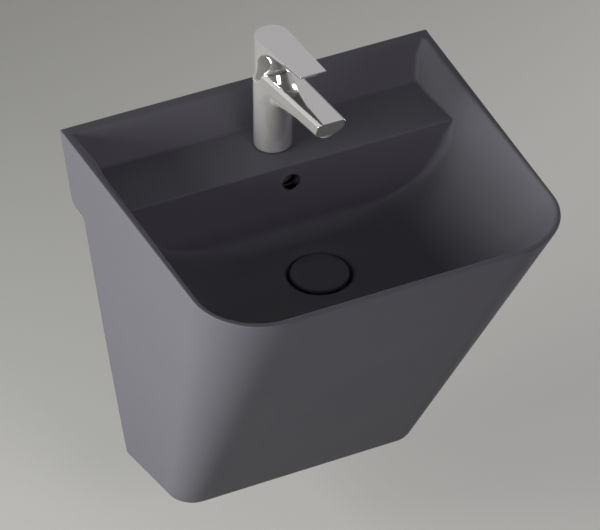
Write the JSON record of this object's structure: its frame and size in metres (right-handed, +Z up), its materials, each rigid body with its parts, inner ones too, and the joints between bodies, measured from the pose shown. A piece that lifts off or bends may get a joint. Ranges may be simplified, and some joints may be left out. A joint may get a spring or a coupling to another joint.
{
  "type": "washbasin with mixer tap",
  "caption": "Wall-hung washbasin in matt ceramic with tapering skirt, tap deck, single-lever mixer, push plug and bottle trap.",
  "frame": {"origin": "midway between the two wall-fixing holes, on the face that lies on the wall", "axes": "+Y into the wall, +Z up, +X along the wall, to the right when the front is faced"},
  "size_m": [0.5, 0.486, 0.66],
  "materials": {
    "matt_ceramic": "matt anthracite glaze",
    "chrome": "polished",
    "brass": "machined",
    "steel": "zinc plated",
    "rubber": "matt",
    "plastic": "moulded",
    "technical_ceramic": "lapped"
  },
  "bodies": {
    "fixed": {"basin": "matt_ceramic", "overflow_ring": "chrome", "fixing_bushes": "plastic", "tap_body": "chrome", "tap_base_gasket": "rubber", "tap_stud": "brass", "stud_gasket": "rubber", "stud_plate": "steel", "stud_nut": "brass", "cartridge": "plastic", "cartridge_seal": "rubber", "fixed_disc": "technical_ceramic", "cartridge_nut": "brass", "aerator_housing": "chrome", "aerator_insert": "plastic", "waste_body": "chrome", "waste_gasket": "rubber", "waste_cone_seal": "rubber", "waste_back_nut": "brass", "click_cartridge": "plastic", "plug_spring": "steel", "trap_inlet_nut": "chrome", "trap_inlet_washer": "rubber", "trap_dip_tube": "chrome", "trap_top_nut": "chrome", "trap_top_seal": "rubber", "trap_body": "chrome", "trap_cup_seal": "rubber", "trap_cup": "chrome", "trap_outlet_nut": "chrome", "trap_outlet_seal": "rubber", "trap_outlet_pipe": "chrome", "wall_rosette": "chrome"},
    "carrier": {"cartridge_carrier": "plastic", "pivot_pin": "steel"},
    "discs": {"disc_slider": "plastic", "moving_disc": "technical_ceramic"},
    "lever": {"lever_handle": "chrome", "lever_screw": "steel", "index_plug": "chrome", "spindle": "steel"},
    "plug": {"plug_cap": "matt_ceramic", "plug_seal": "rubber", "plug_stem": "plastic"}
  },
  "joints": [
    {"name": "lever_turn", "type": "hinge", "parent": "fixed", "child": "carrier", "pos_m": [0, -0.08, 0.145], "axis": [0, 0, 1], "range_deg": [-45, 45]},
    {"name": "lever_lift", "type": "hinge", "parent": "carrier", "child": "lever", "pos_m": [0, -0.08, 0.145], "axis": [-1, 0, 0], "range_deg": [0, 25]},
    {"name": "disc_slide", "type": "slide", "parent": "carrier", "child": "discs", "axis": [0, 1, 0], "range_m": [-0.0047, 0]},
    {"name": "plug_slide", "type": "slide", "parent": "fixed", "child": "plug", "axis": [0, 0, 1], "range_m": [-0.008, 0], "deforming": ["plug_spring"]}
  ],
  "couplings": [
    {"joint": "disc_slide", "follows": "lever_lift", "m_per_rad": -0.01065}
  ]
}
